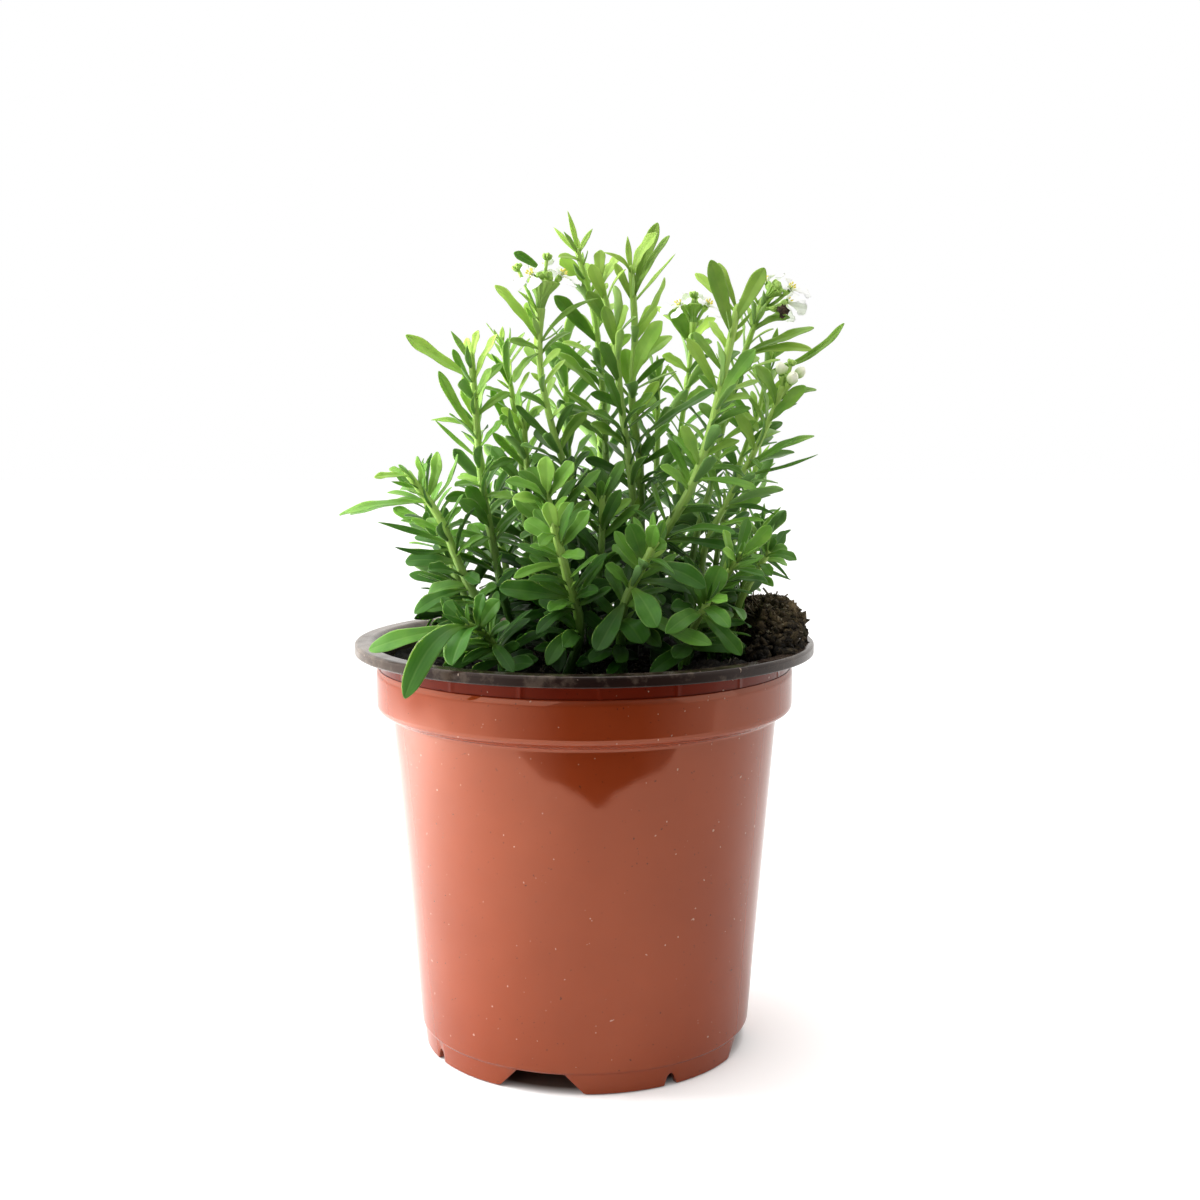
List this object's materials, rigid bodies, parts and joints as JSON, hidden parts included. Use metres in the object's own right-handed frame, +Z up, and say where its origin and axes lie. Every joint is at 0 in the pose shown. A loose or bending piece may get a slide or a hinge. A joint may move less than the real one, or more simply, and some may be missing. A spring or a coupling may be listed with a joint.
{
  "type": "potted candytuft",
  "caption": "Candytuft plant with narrow leaves and small white flower heads, growing in peat in a thin terracotta-coloured plastic nursery pot.",
  "frame": {"origin": "on the ground under the pot's own axis, which is within about a millimetre of the middle of the box", "axes": "+Z up the pot's axis, -Y towards the side that the picture shows, +X to the right of that side"},
  "size_m": [0.1409, 0.1296, 0.2357],
  "materials": {
    "pot_plastic": "semi-gloss, thin",
    "peat": "crumbly, matte",
    "leaf": "satin, living leaf",
    "petal": "soft, matte",
    "anther": "powdery",
    "withered": "dry, crumpled"
  },
  "bodies": {
    "root": {"pot": "pot_plastic", "soil": "peat", "leafy_stem_01": "leaf", "leafy_stem_02": "leaf", "leafy_stem_03": "leaf", "leafy_stem_04": "leaf", "leafy_stem_05": "leaf", "leafy_stem_06": "leaf", "leafy_stem_07": "leaf", "leafy_stem_08": "leaf", "leafy_stem_09": "leaf", "leafy_stem_10": "leaf", "leafy_stem_11": "leaf", "leafy_stem_12": "leaf", "leafy_stem_13": "leaf", "leafy_stem_14": "leaf", "leafy_stem_15": "leaf", "leafy_stem_16": "leaf", "leafy_stem_17": "leaf", "leafy_stem_18": "leaf", "leafy_stem_19": "leaf", "leafy_stem_20": "leaf", "leafy_stem_21": "leaf", "leafy_stem_22": "leaf", "leafy_stem_23": "leaf", "leafy_stem_24": "leaf", "leafy_stem_25": "leaf", "leafy_stem_26": "leaf", "leafy_stem_27": "leaf", "leafy_stem_28": "leaf", "leafy_stem_29": "leaf", "leafy_stem_30": "leaf", "leafy_stem_31": "leaf", "leafy_stem_32": "leaf", "flower_1_petals": "petal", "flower_1_anthers": "anther", "flower_2_petals": "petal", "flower_2_anthers": "anther", "flower_3_petals": "petal", "flower_3_anthers": "anther", "flower_4_petals": "petal", "flower_4_anthers": "anther", "flower_5_petals": "petal", "flower_5_anthers": "anther", "flower_6_petals": "petal", "flower_6_anthers": "anther", "flower_7_petals": "petal", "flower_7_anthers": "anther", "flower_8_petals": "petal", "flower_8_anthers": "anther", "flower_9_petals": "petal", "flower_9_anthers": "anther", "white_bud_1": "petal", "white_bud_2": "petal", "white_bud_3": "petal", "white_bud_4": "petal", "withered_flower": "withered"}
  },
  "joints": []
}
